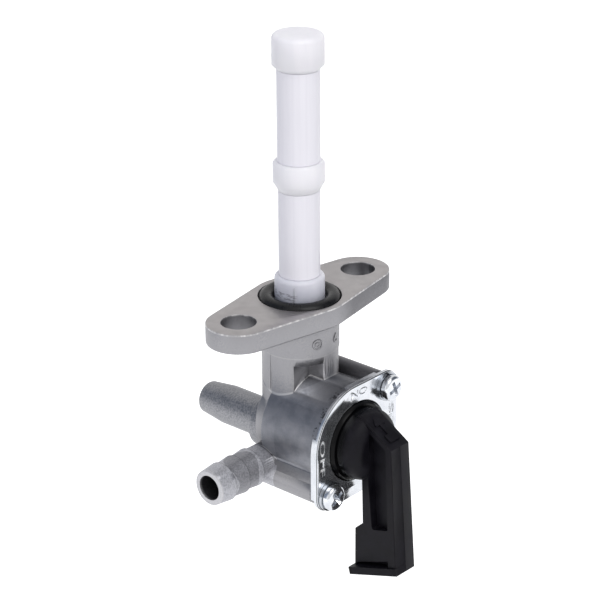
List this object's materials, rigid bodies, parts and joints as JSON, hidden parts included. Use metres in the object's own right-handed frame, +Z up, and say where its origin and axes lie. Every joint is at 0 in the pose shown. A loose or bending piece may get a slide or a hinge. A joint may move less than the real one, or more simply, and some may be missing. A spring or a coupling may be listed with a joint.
{
  "type": "fuel tap",
  "caption": "Small flange-mounted fuel tap with a strainer tower, a barbed spigot, a plain spigot and a black on, off and reserve lever",
  "frame": {"origin": "middle of the flange's top face, which seals against the tank", "axes": "+Z points up into the tank along the strainer, the two bolts are on the X axis, and the lever is on the -Y side"},
  "size_m": [0.0475, 0.0497, 0.1054],
  "materials": {
    "cast_zinc": "rough",
    "strainer_plastic": "satin",
    "screen_mesh": "satin",
    "seal_rubber": "satin",
    "black_plastic": "satin",
    "spring_steel": "satin",
    "bright_zinc": "polished",
    "screw_zinc": "polished"
  },
  "bodies": {
    "housing": {"body": "cast_zinc", "strainer_core": "strainer_plastic", "upper_screen": "screen_mesh", "lower_screen": "screen_mesh", "standpipe": "strainer_plastic", "flange_o_ring": "seal_rubber", "valve_gasket": "seal_rubber", "curved_washer": "spring_steel", "cover_plate": "bright_zinc", "upper_cover_screw": "screw_zinc", "lower_cover_screw": "screw_zinc", "upper_spring_washer": "screw_zinc", "lower_spring_washer": "screw_zinc"},
    "lever": {"lever": "black_plastic", "lever_o_ring": "seal_rubber"}
  },
  "joints": [
    {"name": "lever_turn", "type": "hinge", "parent": "housing", "child": "lever", "pos_m": [0, -0.0127, -0.0262], "axis": [0, 1, 0], "range_deg": [-90, 90]}
  ]
}
